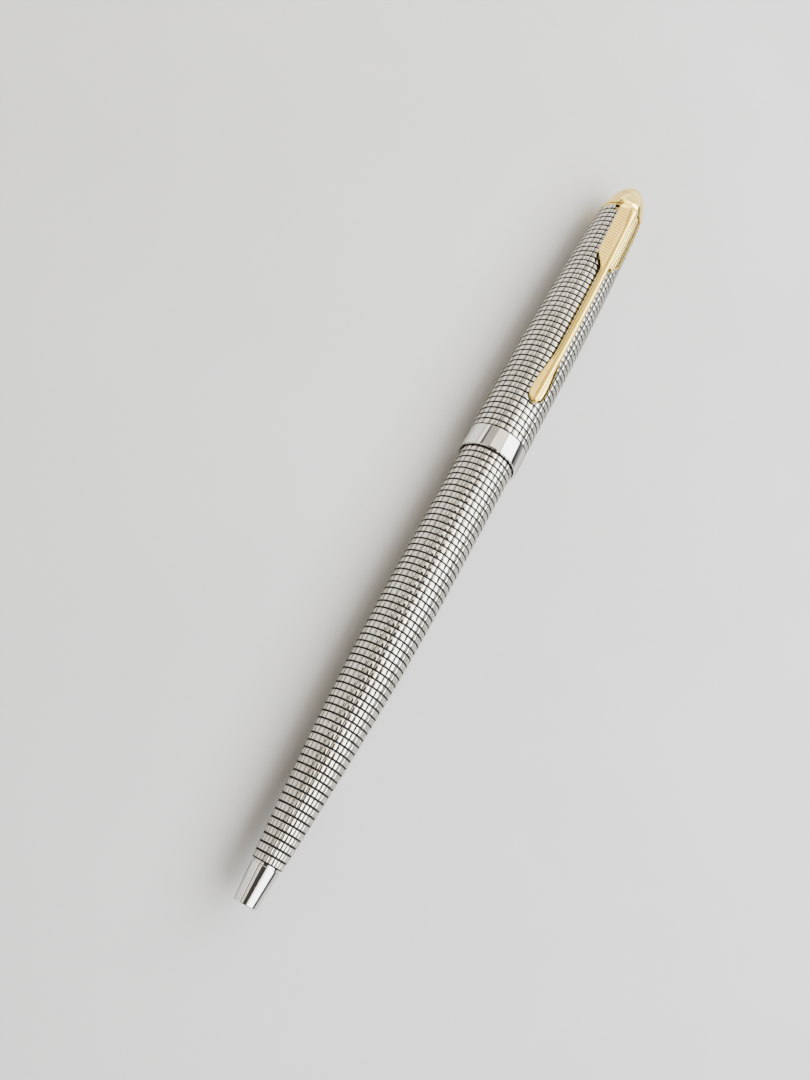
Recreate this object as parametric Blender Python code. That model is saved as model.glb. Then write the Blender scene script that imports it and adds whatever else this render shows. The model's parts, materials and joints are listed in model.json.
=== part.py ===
"""Slim pen with a press-down cap, a spring-loaded rollerball refill and a pocket clip.

The pen lies along X, its nose towards -X and its clip up, and it rests on the cap's polished band.
Places along the pen are given as distances from the nose end, and turned outlines as (distance, radius).
"""

import bpy
import bmesh
from math import acos, asin, cos, degrees, pi, radians, sin
from mathutils import Matrix, Vector

MM = 0.001
SAME_PLACE = 1e-7               # points nearer than this are one point

# The engraved grid sets the lengths of both shells
ROW = 1.085 * MM
BARREL_ROWS = 61
CAP_ROWS = 46
COLUMNS = 24

# Fits
FIT = 0.05 * MM                 # radial room between a piece and the bore that holds it
SEAM = 0.10 * MM                # gap between two pieces that meet face to face
SIDES = COLUMNS                 # of the pieces that show: one flat to a column of the grid
INNER_SIDES = 32
SMOOTH_ANGLE = radians(30)
TRAVEL = 3.4 * MM               # of the cap, and of the refill with it

# Nose cone
NOSE_LENGTH = 5.15 * MM
NOSE_TIP_RADIUS = 1.62 * MM
NOSE_TOP_RADIUS = 2.03 * MM
LIP_ROUNDING = 0.30 * MM
EDGE_CHAMFER = 0.08 * MM
TIP_BORE = 1.28 * MM
TIP_BORE_END = 2.8 * MM
TIP_BORE_FLARE = 0.8 * MM
SPIGOT_RADIUS = 1.86 * MM
SPIGOT_BORE = 1.62 * MM
SPIGOT_END = NOSE_LENGTH + 4.15 * MM

# Barrel
NOSE_GROOVE = 0.35 * MM
BARREL_START = NOSE_LENGTH + NOSE_GROOVE
BARREL_START_RADIUS = 2.24 * MM
BARREL_FLARE_END = 50.5 * MM
BARREL_FLARE_RADIUS = 4.30 * MM
BARREL_FLARE_POWER = 1.8
BAND_START = BARREL_START + BARREL_ROWS * ROW
BARREL_END = BAND_START + 2.6 * MM
BARREL_END_RADIUS = 4.38 * MM
BARREL_WALL = 0.42 * MM
NOSE_THREAD_END = SPIGOT_END + 0.2 * MM
LINER_START = 34.5 * MM
LINER_END = BARREL_END - 12.0 * MM
LINER_BORE = 3.05 * MM
BUSH_END = BARREL_END - 0.3 * MM
THREAD_RADIUS = 3.36 * MM       # outside of the mechanism tube's screw end

# Refill, with its point drawn in
BALL_RADIUS = 0.35 * MM
BALL_FRONT = 0.90 * MM
BALL_CENTRE = BALL_FRONT + BALL_RADIUS
SOCKET_GAP = 0.03 * MM
SOCKET_STEPS = 5
LIP_SHARE = 0.45                # of the ball's radius that the socket's lip stands ahead of its centre
LIP_RADIUS = 0.44 * MM
TIP_LENGTH = 0.9 * MM
TIP_RADIUS = 0.62 * MM
INK_CHANNEL = 0.16 * MM
POINT_RADIUS = 1.15 * MM
POINT_CONE_END = BALL_FRONT + 3.6 * MM
POINT_END = BALL_FRONT + 15.2 * MM
NECK_START = BALL_FRONT + 11.9 * MM
NECK_RADIUS = 1.55 * MM
NECK_END = BALL_FRONT + 27.4 * MM
SHOULDER = 0.35 * MM
REFILL_RADIUS = 2.90 * MM
REFILL_WALL = 0.30 * MM
REFILL_END = BALL_FRONT + 94.1 * MM
CROWN_END = BALL_FRONT + 98.0 * MM
CROWN_SPIGOT = 3.0 * MM
CROWN_DISH_RADIUS = 1.6 * MM
CROWN_DISH_DEPTH = 1.6 * MM
CROWN_NOTCHES = 4
NOTCH_WIDTH = 1.0 * MM
NOTCH_DEPTH = 1.2 * MM
VENT_RADIUS = 0.45 * MM

# Return spring
SPRING_START = SPIGOT_END + 0.4 * MM
SPRING_END = NECK_END - 0.12 * MM
SPRING_RADIUS = 1.87 * MM
SPRING_WIRE = 0.15 * MM
SPRING_TURNS = 11
SPRING_POINTS_PER_TURN = 12

# Mechanism tube and what it carries
SEAL_THICKNESS = 0.35 * MM
SEAL_START = BARREL_END + FIT
FLANGE_START = SEAL_START + SEAL_THICKNESS + FIT
FLANGE_END = FLANGE_START + 0.95 * MM
FLANGE_RADIUS = 4.25 * MM
TUBE_START = BARREL_END - 9.5 * MM
TUBE_END = CROWN_END + 18.1 * MM
TUBE_RADIUS = 3.42 * MM
TUBE_BORE = 3.02 * MM
SLEEVE_START = CROWN_END + 1.1 * MM
SLEEVE_END = SLEEVE_START + 13.0 * MM
SLEEVE_BORE = 2.56 * MM
SLEEVE_SLOTS = 4
SLOT_WIDTH = 0.9 * MM
SLOT_LENGTH = 6.0 * MM
RING_RADIUS = 3.60 * MM
RING_WIDTH = 0.8 * MM

# Push mechanism
CAM_TEETH = 8
TOOTH_DEPTH = 0.55 * MM
CAM_RADIUS = 2.46 * MM
CAM_BORE = 1.1 * MM
ROTOR_START = CROWN_END + SEAM
ROTOR_END = ROTOR_START + 5.4 * MM
ROTOR_RADIUS = 2.10 * MM
ROTOR_CAM_LENGTH = 2.0 * MM
CAM_CHAMFER = 0.5 * MM
PLUNGER_START = ROTOR_END + SEAM
PLUNGER_RADIUS = 1.80 * MM
PLUNGER_HEAD_LENGTH = 4.5 * MM

# Cap
BAND_END = BAND_START + 3.7 * MM
BAND_RADIUS = 4.90 * MM
BAND_BORE = 4.50 * MM
BAND_LIP = 0.22 * MM
REBATE_START = BAND_START + 1.6 * MM
REBATE_RADIUS = 4.70 * MM
CAP_START = BAND_END + SEAM
CAP_RADIUS = 4.86 * MM
CAP_STRAIGHT_END = 92.5 * MM
CAP_END = CAP_START + CAP_ROWS * ROW
CAP_END_RADIUS = 3.90 * MM
CAP_TAPER_POWER = 1.6
CAP_WALL = 0.38 * MM
CAP_LINER_START = FLANGE_END + TRAVEL + 1.2 * MM
CAP_LINER_END = TUBE_END - 2.4 * MM
CAP_LINER_RADIUS = 3.79 * MM
CAP_LINER_BORE = TUBE_RADIUS + 0.08 * MM
CAP_LINER_FLANGE = 1.2 * MM
PLUG_START = TUBE_END + TRAVEL + 1.1 * MM
PLUG_END = CAP_END - 0.2 * MM
PLUG_BORE = 1.30 * MM
PLUNGER_END = PLUG_START - SEAM

# Finial
CLIP_RING_START = CAP_END + SEAM
CLIP_RING_THICKNESS = 0.45 * MM
CLIP_RING_RADIUS = 3.74 * MM
FINIAL_START = CLIP_RING_START + CLIP_RING_THICKNESS + SEAM
FINIAL_SPLIT = FINIAL_START + 3.4 * MM
FINIAL_LENGTH = 6.0 * MM
FINIAL_RADIUS = 3.82 * MM
FINIAL_FLAT_RADIUS = 1.80 * MM
FINIAL_POWER = 1.5
FINIAL_ROUNDNESS = 0.8
FINIAL_BORE = 1.95 * MM
PEN_LENGTH = FINIAL_START + FINIAL_LENGTH
SCREW_RADIUS = 1.20 * MM
SCREW_START = PLUG_START + 0.6 * MM
SCREW_END = PEN_LENGTH - 1.2 * MM
SCREW_CHAMFER = 0.2 * MM

# Clip
CLIP_ROOT = CAP_END + 0.42 * MM
CLIP_TIP = 82.1 * MM
CLIP_LENGTH = CLIP_ROOT - CLIP_TIP
CLIP_HINGE = CLIP_ROOT - 0.2 * MM
CLIP_HINGE_HEIGHT = 3.95 * MM
CLIP_NOTCH_WIDTH = 5.7 * MM
CLIP_NOTCH_LENGTH = 1.4 * MM
CLIP_PLATE_WIDTH = 4.9 * MM
CLIP_SHAFT_WIDTH = 1.50 * MM
CLIP_PADDLE_WIDTH = 2.90 * MM
CLIP_CORNER = 0.9 * MM          # rounding of the plate's end under the finial
CLIP_PLATE_STRAIGHT = 11.6 * MM  # lengths along the clip, from its root
CLIP_PLATE_TAPER = 15.9 * MM
CLIP_PADDLE_START = 33.0 * MM
CLIP_PADDLE_WIDEST = 41.5 * MM
CLIP_EDGE_THICKNESS = 0.32 * MM
CLIP_EDGE_CHAMFER = 0.10 * MM
CLIP_RIDGE_WIDTH = 0.84 * MM
CLIP_RIDGE_ROOT_WIDTH = 1.50 * MM
CLIP_RIDGE_FLARE = 6.0 * MM      # the ridge widens towards the root over this length
CLIP_RIDGE_HEIGHT = 0.48 * MM
CLIP_MIN_HALF_WIDTH = 0.12 * MM
CLIP_SLIM_HALF_WIDTH = 0.5 * MM  # the ridge gets lower where the clip is slimmer than this
CLIP_DROOP = 0.105 / MM          # how fast the wings hang down, per square of the distance sideways
CLIP_ROOT_GAP = 0.12 * MM
CLIP_STAND_OFF = 0.60 * MM
CLIP_BOW_POWER = 0.7
CLIP_TIP_POWER = 2.2
CLIP_STATIONS = 60
# the section across the clip, as shares of its half width and of the ridge's half width and height
EDGE_SHARE = 0.85
RIDGE_SHARE = 0.62
RIDGE_FOOT = 1.35
RIDGE_TOP = 0.45
RIDGE_SIDE = 0.75
RIDGE_FOOT_RISE = 0.02 * MM

AXIS_HEIGHT = BAND_RADIUS * cos(pi / SIDES)  # the pen rests on a flat of the band

FINISHES = {
    "silver": ((0.80, 0.78, 0.74), 0.28, 1.0),
    "polished_silver": ((0.86, 0.84, 0.80), 0.10, 1.0),
    "gold": ((0.92, 0.80, 0.52), 0.18, 1.0),
    "brass": ((0.75, 0.60, 0.28), 0.30, 1.0),
    "steel": ((0.62, 0.62, 0.63), 0.25, 1.0),
    "spring_steel": ((0.45, 0.45, 0.47), 0.30, 1.0),
    "black_plastic": ((0.03, 0.03, 0.035), 0.45, 0.0),
    "white_plastic": ((0.82, 0.82, 0.80), 0.40, 0.0),
    "rubber": ((0.02, 0.02, 0.02), 0.80, 0.0),
    "tungsten": ((0.40, 0.40, 0.42), 0.15, 1.0),
}


def material(finish):
    """The material of a finish, made once."""
    made = bpy.data.materials.get(finish)
    if made:
        return made
    colour, roughness, metallic = FINISHES[finish]
    made = bpy.data.materials.new(finish)
    made.use_nodes = True
    shader = made.node_tree.nodes["Principled BSDF"]
    shader.inputs["Base Color"].default_value = (*colour, 1.0)
    shader.inputs["Roughness"].default_value = roughness
    shader.inputs["Metallic"].default_value = metallic
    return made


def on_axis(distance, height=0.0):
    """World place of a point over the pen's axis, from its distance to the nose end."""
    return Vector((distance - PEN_LENGTH / 2, 0.0, AXIS_HEIGHT + height))


def frame_at(name, place, parent=None):
    """An empty on a joint's axis, which carries one moving group."""
    empty = bpy.data.objects.new(name, None)
    empty.empty_display_size = 3 * MM
    bpy.context.collection.objects.link(empty)
    put(empty, place, parent)
    return empty


def put(obj, place, parent):
    """Parents an object and places it in the world."""
    if parent:
        obj.parent = parent
        place = place - world_place(parent)
    obj.location = place


def world_place(obj):
    """World place of an unrotated object, from its own and its parents' locations."""
    place = obj.location.copy()
    if obj.parent:
        place += world_place(obj.parent)
    return place


def add_piece(name, bm, finish, place, parent):
    """Makes the named object of a mesh whose points are relative to place."""
    bmesh.ops.remove_doubles(bm, verts=bm.verts, dist=SAME_PLACE)
    bmesh.ops.recalc_face_normals(bm, faces=bm.faces)
    mesh = bpy.data.meshes.new(name)
    bm.to_mesh(mesh)
    bm.free()
    mesh.materials.append(material(finish))
    mesh.shade_smooth()
    mesh.set_sharp_from_angle(angle=SMOOTH_ANGLE)
    obj = bpy.data.objects.new(name, mesh)
    bpy.context.collection.objects.link(obj)
    put(obj, place, parent)
    return obj


def spun(outline, start, sides):
    """Mesh of an outline of (distance, radius) points turned round the pen's axis.

    A ring's outline closes on itself. A solid's outline begins and ends on the axis.
    """
    bm = bmesh.new()
    points = [bm.verts.new((distance - start, 0.0, radius)) for distance, radius in outline]
    solid = outline[0][1] == 0.0 and outline[-1][1] == 0.0
    first = 1 if solid else 0
    edges = [bm.edges.new((points[i - 1], points[i])) for i in range(first, len(points))]
    bmesh.ops.spin(
        bm,
        geom=points + edges,
        cent=(0.0, 0.0, 0.0),
        axis=(1.0, 0.0, 0.0),
        angle=2 * pi,
        steps=sides,
        use_merge=True,
    )
    if sides == SIDES:
        # a flat of the outside faces down, so the pen lies still
        bmesh.ops.rotate(bm, verts=bm.verts, matrix=Matrix.Rotation(pi / SIDES, 3, "X"))
    return bm


def turned(name, outline, finish, parent, sides=INNER_SIDES):
    """A turned piece with its origin on the axis, at its end nearest the nose."""
    start = min(distance for distance, _ in outline)
    return add_piece(name, spun(outline, start, sides), finish, on_axis(start), parent)


def tube(start, end, radius, bore):
    """Outline of a plain tube."""
    return [(start, radius), (end, radius), (end, bore), (start, bore)]


def along(start, end, steps):
    """Evenly spaced distances, both ends included."""
    return [start + (end - start) * i / steps for i in range(steps + 1)]


def arc(centre, radius, angle_from, angle_to, steps):
    """Points of an arc in the (distance, radius) plane, angles in degrees from +distance."""
    turns = [radians(angle) for angle in along(angle_from, angle_to, steps)]
    return [(centre[0] + radius * cos(a), centre[1] + radius * sin(a)) for a in turns]


def smooth_step(t):
    """0 to 1 with flat ends."""
    t = min(max(t, 0.0), 1.0)
    return t * t * (3 - 2 * t)


def cut(obj, cutter):
    """Cuts a guide solid out of a piece with an exact Boolean."""
    cutter.hide_render = True
    cutter.display_type = "WIRE"
    modifier = obj.modifiers.new("cut_" + cutter.name, "BOOLEAN")
    modifier.operation = "DIFFERENCE"
    modifier.solver = "EXACT"
    modifier.object = cutter


def box_cutter(name, low, high, parent):
    """A box between two corners given as (distance, side, height over the axis)."""
    low, high = Vector(low), Vector(high)
    centre, size = (low + high) / 2, high - low
    bm = bmesh.new()
    bmesh.ops.create_cube(bm, size=1.0)
    bmesh.ops.scale(bm, vec=size, verts=bm.verts)
    mesh = bpy.data.meshes.new(name)
    bm.to_mesh(mesh)
    bm.free()
    cutter = bpy.data.objects.new(name, mesh)
    bpy.context.collection.objects.link(cutter)
    put(cutter, on_axis(centre.x, centre.z) + Vector((0.0, centre.y, 0.0)), parent)
    return cutter


def barrel_radius(distance):
    """Outside of the barrel: a long flare from the nose, then an almost straight tube."""
    if distance >= BARREL_FLARE_END:
        share = (distance - BARREL_FLARE_END) / (BARREL_END - BARREL_FLARE_END)
        return BARREL_FLARE_RADIUS + (BARREL_END_RADIUS - BARREL_FLARE_RADIUS) * share
    share = (BARREL_FLARE_END - distance) / (BARREL_FLARE_END - BARREL_START)
    return BARREL_FLARE_RADIUS - (BARREL_FLARE_RADIUS - BARREL_START_RADIUS) * share**BARREL_FLARE_POWER


def cap_radius(distance):
    """Outside of the cap: straight above the band, then tapering towards the finial."""
    share = max(0.0, (distance - CAP_STRAIGHT_END) / (CAP_END - CAP_STRAIGHT_END))
    return CAP_RADIUS - (CAP_RADIUS - CAP_END_RADIUS) * share**CAP_TAPER_POWER


# ---------------------------------------------------------------- barrel group


def make_nose_cone(parent):
    lip = arc((LIP_ROUNDING, NOSE_TIP_RADIUS - LIP_ROUNDING), LIP_ROUNDING, 180, 90, 5)
    outline = [
        (0.0, TIP_BORE),
        *lip,
        (NOSE_LENGTH - EDGE_CHAMFER, NOSE_TOP_RADIUS),
        (NOSE_LENGTH, NOSE_TOP_RADIUS - EDGE_CHAMFER),
        (NOSE_LENGTH, SPIGOT_RADIUS),
        (SPIGOT_END, SPIGOT_RADIUS),
        (SPIGOT_END, SPIGOT_BORE),
        (TIP_BORE_END + TIP_BORE_FLARE, SPIGOT_BORE),
        (TIP_BORE_END, TIP_BORE),
    ]
    turned("nose_cone", outline, "polished_silver", parent, SIDES)


def make_barrel_shell(parent):
    outside = [(d, barrel_radius(d)) for d in along(BARREL_START, BARREL_END, 12)]
    inside = [(d, barrel_radius(d) - BARREL_WALL) for d in along(BARREL_END, NOSE_THREAD_END, 7)]
    thread = [
        (NOSE_THREAD_END, SPIGOT_RADIUS + FIT),
        (BARREL_START, SPIGOT_RADIUS + FIT),
    ]
    turned("barrel_shell", outside + inside + thread, "silver", parent, SIDES)


def bore_lining(start, end, bore, steps):
    """Outline of a piece that fills the barrel's bore down to a smaller bore."""
    outside = [(d, barrel_radius(d) - BARREL_WALL - FIT) for d in along(start, end, steps)]
    return outside + [(end, bore), (start, bore)]


def make_barrel_liner(parent):
    turned("barrel_liner", bore_lining(LINER_START, LINER_END, LINER_BORE, 4), "brass", parent)


def make_barrel_bush(parent):
    start = LINER_END + SEAM
    turned("barrel_bush", bore_lining(start, BUSH_END, THREAD_RADIUS + FIT, 2), "brass", parent)


def make_return_spring(parent):
    """Wire helix round the refill's neck, between the nose cone's spigot and the refill's shoulder."""
    length = SPRING_END - SPRING_START
    steps = SPRING_TURNS * SPRING_POINTS_PER_TURN
    curve = bpy.data.curves.new("return_spring_wire", "CURVE")
    curve.dimensions = "3D"
    curve.bevel_depth = SPRING_WIRE
    curve.bevel_resolution = 1
    curve.use_fill_caps = True
    spline = curve.splines.new("POLY")
    spline.points.add(steps)
    for i, point in enumerate(spline.points):
        turn = 2 * pi * i / SPRING_POINTS_PER_TURN
        x = SPRING_WIRE + (length - 2 * SPRING_WIRE) * i / steps
        point.co = (x, SPRING_RADIUS * cos(turn), SPRING_RADIUS * sin(turn), 1.0)
    curve.materials.append(material("spring_steel"))
    spring = bpy.data.objects.new("return_spring", curve)
    bpy.context.collection.objects.link(spring)
    put(spring, on_axis(SPRING_START), parent)


# ---------------------------------------------------------------- mechanism group


def make_seal_washer(parent):
    washer = tube(SEAL_START, SEAL_START + SEAL_THICKNESS, FLANGE_RADIUS, THREAD_RADIUS + FIT)
    turned("seal_washer", washer, "rubber", parent)


def make_mechanism_tube(parent):
    outline = [
        (TUBE_START, TUBE_BORE),
        (TUBE_START, THREAD_RADIUS),
        (FLANGE_START, THREAD_RADIUS),
        (FLANGE_START, FLANGE_RADIUS),
        (FLANGE_END, FLANGE_RADIUS),
        (FLANGE_END, TUBE_RADIUS),
        (TUBE_END, TUBE_RADIUS),
        (TUBE_END, TUBE_BORE),
    ]
    turned("mechanism_tube", outline, "brass", parent)


def make_cam_sleeve(parent):
    """Sleeve with slots that open towards the nose, for the rotor's ribs."""
    outline = tube(SLEEVE_START, SLEEVE_END, TUBE_BORE - FIT, SLEEVE_BORE)
    sleeve = turned("cam_sleeve", outline, "white_plastic", parent)
    for i in range(SLEEVE_SLOTS // 2):
        # one box cuts two opposite slots
        low = (SLEEVE_START - SLOT_LENGTH, -SLOT_WIDTH / 2, -2 * SLEEVE_BORE)
        high = (SLEEVE_START + SLOT_LENGTH, SLOT_WIDTH / 2, 2 * SLEEVE_BORE)
        cutter = box_cutter(f"sleeve_slot_{i}", low, high, parent)
        cutter.rotation_euler.x = pi / 2 * i
        cut(sleeve, cutter)


def make_retaining_ring(parent):
    start = CAP_LINER_END + SEAM
    ring = tube(start, start + RING_WIDTH, RING_RADIUS, TUBE_RADIUS + FIT)
    turned("retaining_ring", ring, "spring_steel", parent)


def add_cam_teeth(bm, faces_at, direction):
    """Turns the flat ring of points at one distance into ratchet teeth that point along direction."""
    per_tooth = INNER_SIDES // CAM_TEETH
    for vert in bm.verts:
        if abs(vert.co.x - faces_at) > SAME_PLACE:
            continue
        angle = vert.co.yz.angle_signed(Vector((1.0, 0.0))) % (2 * pi)
        place_in_tooth = (round(angle / (2 * pi) * INNER_SIDES) % per_tooth) / (per_tooth - 1)
        vert.co.x -= direction * TOOTH_DEPTH * (1 - place_in_tooth)


def make_plunger(parent):
    """Push rod with ratchet teeth at its front and a long neck that the cap's plug presses."""
    head_end = PLUNGER_START + PLUNGER_HEAD_LENGTH
    outline = [
        (PLUNGER_START, CAM_BORE),
        (PLUNGER_START, CAM_RADIUS),
        (head_end, CAM_RADIUS),
        (head_end + CAM_CHAMFER, PLUNGER_RADIUS),
        (PLUNGER_END, PLUNGER_RADIUS),
        (PLUNGER_END, CAM_BORE),
    ]
    bm = spun(outline, PLUNGER_START, INNER_SIDES)
    add_cam_teeth(bm, 0.0, -1)
    add_piece("plunger", bm, "black_plastic", on_axis(PLUNGER_START), parent)


def make_cam_rotor(parent):
    """Rotor with its foot on the refill and ratchet teeth that face the plunger."""
    cam_start = ROTOR_END - ROTOR_CAM_LENGTH
    outline = [
        (ROTOR_START, CAM_BORE),
        (ROTOR_START, ROTOR_RADIUS),
        (cam_start - CAM_CHAMFER, ROTOR_RADIUS),
        (cam_start, CAM_RADIUS),
        (ROTOR_END, CAM_RADIUS),
        (ROTOR_END, CAM_BORE),
    ]
    bm = spun(outline, ROTOR_START, INNER_SIDES)
    add_cam_teeth(bm, ROTOR_END - ROTOR_START, 1)
    add_piece("cam_rotor", bm, "white_plastic", on_axis(ROTOR_START), parent)


# ---------------------------------------------------------------- refill group


def make_refill_body(parent):
    """Ink tube, open at the rear, with a slim neck that takes the point."""
    bore = REFILL_RADIUS - REFILL_WALL
    neck_bore = POINT_RADIUS + FIT
    outline = [
        (NECK_START, neck_bore),
        (NECK_START, NECK_RADIUS),
        (NECK_END, NECK_RADIUS),
        (NECK_END, REFILL_RADIUS - SHOULDER),
        (NECK_END + SHOULDER, REFILL_RADIUS),
        (REFILL_END, REFILL_RADIUS),
        (REFILL_END, bore),
        (NECK_END + SHOULDER + REFILL_WALL, bore),
        (NECK_END + REFILL_WALL, neck_bore),
    ]
    turned("refill_body", outline, "steel", parent)


def make_refill_crown(parent):
    """Vented plug with notches in its rear rim."""
    rim_start = REFILL_END + FIT
    spigot_radius = REFILL_RADIUS - REFILL_WALL - FIT
    dish_start = CROWN_END - CROWN_DISH_DEPTH
    outline = [
        (rim_start - CROWN_SPIGOT, VENT_RADIUS),
        (rim_start - CROWN_SPIGOT, spigot_radius),
        (rim_start, spigot_radius),
        (rim_start, REFILL_RADIUS - FIT),
        (CROWN_END, REFILL_RADIUS - FIT),
        (CROWN_END, CROWN_DISH_RADIUS),
        (dish_start, CROWN_DISH_RADIUS),
        (dish_start, VENT_RADIUS),
    ]
    crown = turned("refill_crown", outline, "black_plastic", parent)
    for i in range(CROWN_NOTCHES // 2):
        # one box cuts two opposite notches
        low = (CROWN_END - NOTCH_DEPTH, -NOTCH_WIDTH / 2, -2 * REFILL_RADIUS)
        high = (CROWN_END + NOTCH_DEPTH, NOTCH_WIDTH / 2, 2 * REFILL_RADIUS)
        cutter = box_cutter(f"crown_notch_{i}", low, high, parent)
        cutter.rotation_euler.x = pi / 4 + pi / 2 * i
        cut(crown, cutter)


def make_point_holder(parent):
    """Steel point: a cone with the ball's socket at its tip, and a stem that sits in the refill's neck."""
    socket = BALL_RADIUS + SOCKET_GAP
    lip = BALL_CENTRE - LIP_SHARE * BALL_RADIUS
    channel_angle = degrees(asin(INK_CHANNEL / socket))
    mouth_angle = degrees(acos((lip - BALL_CENTRE) / socket))
    outline = [
        (lip, LIP_RADIUS),
        (lip + TIP_LENGTH, TIP_RADIUS),
        (POINT_CONE_END, POINT_RADIUS),
        (POINT_END, POINT_RADIUS),
        (POINT_END, INK_CHANNEL),
        *arc((BALL_CENTRE, 0.0), socket, channel_angle, mouth_angle, SOCKET_STEPS),
    ]
    turned("point_holder", outline, "steel", parent)


def make_ball(parent):
    bm = bmesh.new()
    bmesh.ops.create_uvsphere(bm, u_segments=16, v_segments=10, radius=BALL_RADIUS)
    add_piece("ball", bm, "tungsten", on_axis(BALL_CENTRE), parent)


# ---------------------------------------------------------------- cap group


def make_cap_band(parent):
    """Polished band with a rounded lower lip, pressed over the cap's rebated end."""
    lip = arc((BAND_START + BAND_LIP, BAND_RADIUS - BAND_LIP), BAND_LIP, 180, 90, 4)
    outline = [
        (BAND_START, BAND_BORE),
        *lip,
        (BAND_END - EDGE_CHAMFER, BAND_RADIUS),
        (BAND_END, BAND_RADIUS - EDGE_CHAMFER),
        (BAND_END, REBATE_RADIUS + FIT),
        (REBATE_START - FIT, REBATE_RADIUS + FIT),
        (REBATE_START - FIT, BAND_BORE),
    ]
    turned("cap_band", outline, "polished_silver", parent, SIDES)


def make_cap_shell(parent):
    """Tapered tube, rebated for the band and notched for the clip."""
    taper = along(CAP_STRAIGHT_END, CAP_END, 8)
    inside = [(d, cap_radius(d) - CAP_WALL) for d in reversed(taper)]
    outline = [
        (REBATE_START, REBATE_RADIUS),
        (CAP_START, REBATE_RADIUS),
        (CAP_START, CAP_RADIUS),
        *[(d, cap_radius(d)) for d in taper],
        *inside,
        (REBATE_START, CAP_RADIUS - CAP_WALL),
    ]
    shell = turned("cap_shell", outline, "silver", parent, SIDES)
    low = (CAP_END - CLIP_NOTCH_LENGTH, -CLIP_NOTCH_WIDTH / 2, CAP_END_RADIUS / 3)
    high = (CAP_END + CLIP_NOTCH_LENGTH, CLIP_NOTCH_WIDTH / 2, 2 * CAP_END_RADIUS)
    cut(shell, box_cutter("clip_notch", low, high, parent))


def make_cap_liner(parent):
    """Guide tube with a flange that centres it in the cap's straight part."""
    flange = CAP_RADIUS - CAP_WALL - FIT
    flange_end = CAP_LINER_START + CAP_LINER_FLANGE
    outline = [
        (CAP_LINER_START, CAP_LINER_BORE),
        (CAP_LINER_START, flange),
        (flange_end, flange),
        (flange_end, CAP_LINER_RADIUS),
        (CAP_LINER_END, CAP_LINER_RADIUS),
        (CAP_LINER_END, CAP_LINER_BORE),
    ]
    turned("cap_liner", outline, "brass", parent)


def make_cap_plug(parent):
    outside = [(d, cap_radius(d) - CAP_WALL - FIT) for d in along(PLUG_START, PLUG_END, 2)]
    turned("cap_plug", outside + [(PLUG_END, PLUG_BORE), (PLUG_START, PLUG_BORE)], "brass", parent)


def make_clip_ring(parent):
    """Washer clamped between the cap's end and the finial, which holds the clip's root."""
    end = CLIP_RING_START + CLIP_RING_THICKNESS
    ring = tube(CLIP_RING_START, end, CLIP_RING_RADIUS, SCREW_RADIUS + FIT)
    turned("clip_ring", ring, "gold", parent)


def finial_radius(distance):
    """A bullet shape that ends in a small flat."""
    share = (distance - FINIAL_START) / FINIAL_LENGTH
    bulge = max(1 - share**FINIAL_POWER, 0.0) ** FINIAL_ROUNDNESS
    return FINIAL_FLAT_RADIUS + (FINIAL_RADIUS - FINIAL_FLAT_RADIUS) * bulge


def make_finial_ring(parent):
    """Tapered gold collar at the cap's end."""
    end = FINIAL_SPLIT - EDGE_CHAMFER
    outline = [
        (FINIAL_START, FINIAL_BORE + FIT),
        (FINIAL_START, FINIAL_RADIUS - EDGE_CHAMFER),
        *[(d, finial_radius(d)) for d in along(FINIAL_START + EDGE_CHAMFER, end, 5)],
        (FINIAL_SPLIT, finial_radius(FINIAL_SPLIT) - EDGE_CHAMFER),
        (FINIAL_SPLIT, FINIAL_BORE + FIT),
    ]
    turned("finial_ring", outline, "gold", parent, SIDES)


def make_finial_dome(parent):
    """Domed end with a flat top, a spigot in the collar and a blind hole for the screw."""
    start = FINIAL_SPLIT + SEAM
    height = PEN_LENGTH - start
    dome = [start + EDGE_CHAMFER + (height - EDGE_CHAMFER) * sin(t) for t in along(0.0, pi / 2, 6)]
    hole_end = SCREW_END + FIT
    outline = [
        (PEN_LENGTH, 0.0),
        *[(d, finial_radius(d)) for d in reversed(dome)],
        (start, finial_radius(start) - EDGE_CHAMFER),
        (start, FINIAL_BORE),
        (FINIAL_START, FINIAL_BORE),
        (FINIAL_START, SCREW_RADIUS + FIT),
        (hole_end, SCREW_RADIUS + FIT),
        (hole_end, 0.0),
    ]
    turned("finial_dome", outline, "gold", parent, SIDES)


def make_finial_screw(parent):
    """Stud through the plug, the clip ring and the collar into the dome."""
    outline = [
        (SCREW_START, 0.0),
        (SCREW_START, SCREW_RADIUS - SCREW_CHAMFER),
        (SCREW_START + SCREW_CHAMFER, SCREW_RADIUS),
        (SCREW_END, SCREW_RADIUS),
        (SCREW_END, 0.0),
    ]
    turned("finial_screw", outline, "steel", parent)


# ---------------------------------------------------------------- clip


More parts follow.
